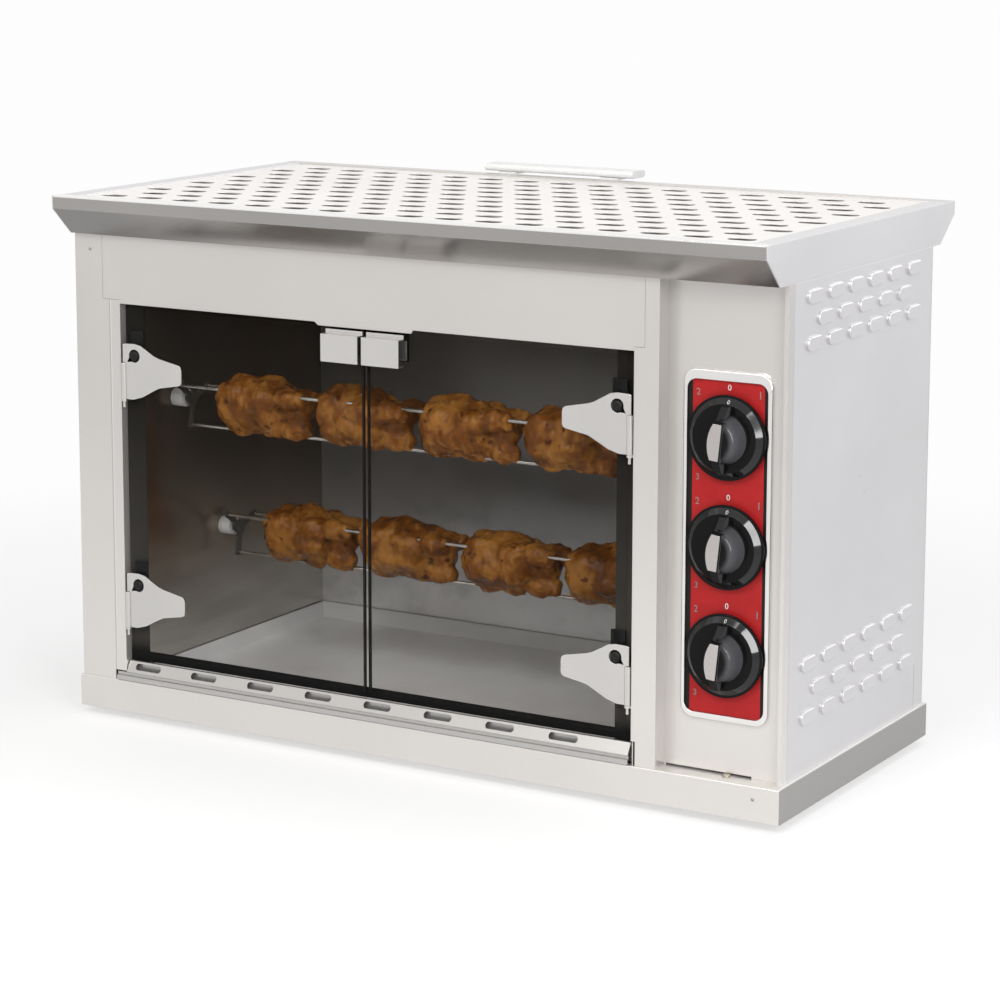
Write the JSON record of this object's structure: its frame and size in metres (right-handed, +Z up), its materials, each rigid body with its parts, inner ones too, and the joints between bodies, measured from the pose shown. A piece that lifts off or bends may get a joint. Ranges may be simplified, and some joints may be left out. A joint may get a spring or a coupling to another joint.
{
  "type": "gas chicken rotisserie oven",
  "caption": "Countertop stainless gas rotisserie with twin glass doors, paired geared spits of roast birds, a slide-out drip tray, push-and-turn gas knobs and a flared perforated top.",
  "frame": {"origin": "middle of the overall box, on the plane that the feet stand on", "axes": "+X to the right along the front, +Y to the rear, +Z up; the doors and knobs face -Y"},
  "size_m": [0.84, 0.4817, 0.581],
  "materials": {
    "case_steel": "brushed, warm",
    "bezel_metal": "polished",
    "label_red": "satin",
    "foot_grey": "moulded",
    "spacer_steel": "satin",
    "liner_steel": "heat-stained",
    "magnet_iron": "plain",
    "hinge_metal": "polished",
    "clamp_black": "satin",
    "handle_metal": "polished",
    "door_glass": "tinted",
    "collar_steel": "polished",
    "bracket_steel": "zinc",
    "motor_paint": "satin",
    "burner_steel": "plain",
    "burner_ceramic": "porous",
    "pipe_brass": "plain",
    "rail_steel": "zinc",
    "fitting_brass": "machined",
    "gland_plastic": "moulded",
    "screw_metal": "turned",
    "tray_steel": "brushed",
    "spit_chrome": "polished",
    "gear_steel": "machined",
    "roast_skin": "glazed",
    "knob_black": "moulded",
    "knob_chrome": "polished"
  },
  "bodies": {
    "cabinet": {"base_plinth": "case_steel", "feet": "foot_grey", "left_side_panel": "case_steel", "right_side_panel": "case_steel", "rear_panel": "case_steel", "left_front_post": "case_steel", "right_front_post": "case_steel", "front_lintel": "case_steel", "control_panel": "case_steel", "control_bezel": "bezel_metal", "label_plate": "label_red", "cornice_front": "case_steel", "cornice_rear": "case_steel", "cornice_end_left": "case_steel", "cornice_end_right": "case_steel", "top_grille": "case_steel", "rear_spacer": "spacer_steel", "inner_frame": "liner_steel", "liner_left": "liner_steel", "liner_right": "liner_steel", "liner_back": "liner_steel", "liner_ceiling": "liner_steel", "catch_magnets": "magnet_iron", "hinge_brackets": "hinge_metal", "spit_bearings": "collar_steel", "motor_bracket": "bracket_steel", "gearmotor": "motor_paint", "burner_housings": "burner_steel", "burner_ceramics": "burner_ceramic", "gas_pipes": "pipe_brass", "gas_manifold": "rail_steel", "gas_inlet": "fitting_brass", "gas_valves": "fitting_brass", "cable_gland": "gland_plastic", "case_screws": "screw_metal"},
    "left_door": {"left_door_glass": "door_glass", "left_hinge_plates": "hinge_metal", "left_hinge_backs": "clamp_black", "left_door_handle": "handle_metal"},
    "right_door": {"right_door_glass": "door_glass", "right_hinge_plates": "hinge_metal", "right_hinge_backs": "clamp_black", "right_door_handle": "handle_metal"},
    "tray": {"drip_tray": "tray_steel"},
    "upper_spit_unit": {"upper_spit": "spit_chrome", "upper_drive": "gear_steel", "upper_birds": "roast_skin"},
    "lower_spit_unit": {"lower_spit": "spit_chrome", "lower_drive": "gear_steel", "lower_birds": "roast_skin"},
    "motor_output": {"motor_gear": "gear_steel"},
    "plug_1": {"knob_1_tap_plug": "fitting_brass"},
    "control_knob_1": {"knob_1": "knob_black", "knob_1_face": "knob_chrome"},
    "plug_2": {"knob_2_tap_plug": "fitting_brass"},
    "control_knob_2": {"knob_2": "knob_black", "knob_2_face": "knob_chrome"},
    "plug_3": {"knob_3_tap_plug": "fitting_brass"},
    "control_knob_3": {"knob_3": "knob_black", "knob_3_face": "knob_chrome"}
  },
  "joints": [
    {"name": "left_door_swing", "type": "hinge", "parent": "cabinet", "child": "left_door", "pos_m": [-0.354, -0.20345, 0.26], "axis": [0, 0, -1], "range_deg": [0, 115]},
    {"name": "right_door_swing", "type": "hinge", "parent": "cabinet", "child": "right_door", "pos_m": [0.255, -0.20345, 0.26], "axis": [0, 0, 1], "range_deg": [0, 115]},
    {"name": "tray_slide", "type": "slide", "parent": "cabinet", "child": "tray", "axis": [0, -1, 0], "range_m": [0, 0.3]},
    {"name": "upper_spit_spin", "type": "hinge", "parent": "cabinet", "child": "upper_spit_unit", "pos_m": [-0.0495, -0.13815, 0.3485], "axis": [1, 0, 0], "continuous": true},
    {"name": "lower_spit_spin", "type": "hinge", "parent": "cabinet", "child": "lower_spit_unit", "pos_m": [-0.0495, -0.05415, 0.19157], "axis": [1, 0, 0], "continuous": true},
    {"name": "motor_spin", "type": "hinge", "parent": "cabinet", "child": "motor_output", "pos_m": [0.2485, -0.09615, 0.27003], "axis": [1, 0, 0], "continuous": true},
    {"name": "knob_1_turn", "type": "hinge", "parent": "cabinet", "child": "plug_1", "pos_m": [0.3515, -0.17, 0.3777], "axis": [0, -1, 0], "range_deg": [0, 210]},
    {"name": "knob_1_push", "type": "slide", "parent": "plug_1", "child": "control_knob_1", "axis": [0, 1, 0], "range_m": [0, 0.0035], "stiffness_N_per_m": 1500, "springref_m": -0.002},
    {"name": "knob_2_turn", "type": "hinge", "parent": "cabinet", "child": "plug_2", "pos_m": [0.3515, -0.17, 0.271], "axis": [0, -1, 0], "range_deg": [0, 210]},
    {"name": "knob_2_push", "type": "slide", "parent": "plug_2", "child": "control_knob_2", "axis": [0, 1, 0], "range_m": [0, 0.0035], "stiffness_N_per_m": 1500, "springref_m": -0.002},
    {"name": "knob_3_turn", "type": "hinge", "parent": "cabinet", "child": "plug_3", "pos_m": [0.3515, -0.17, 0.1643], "axis": [0, -1, 0], "range_deg": [0, 210]},
    {"name": "knob_3_push", "type": "slide", "parent": "plug_3", "child": "control_knob_3", "axis": [0, 1, 0], "range_m": [0, 0.0035], "stiffness_N_per_m": 1500, "springref_m": -0.002}
  ],
  "couplings": [
    {"joint": "lower_spit_spin", "follows": "upper_spit_spin", "ratio": 1},
    {"joint": "motor_spin", "follows": "upper_spit_spin", "ratio": -0.97778}
  ]
}
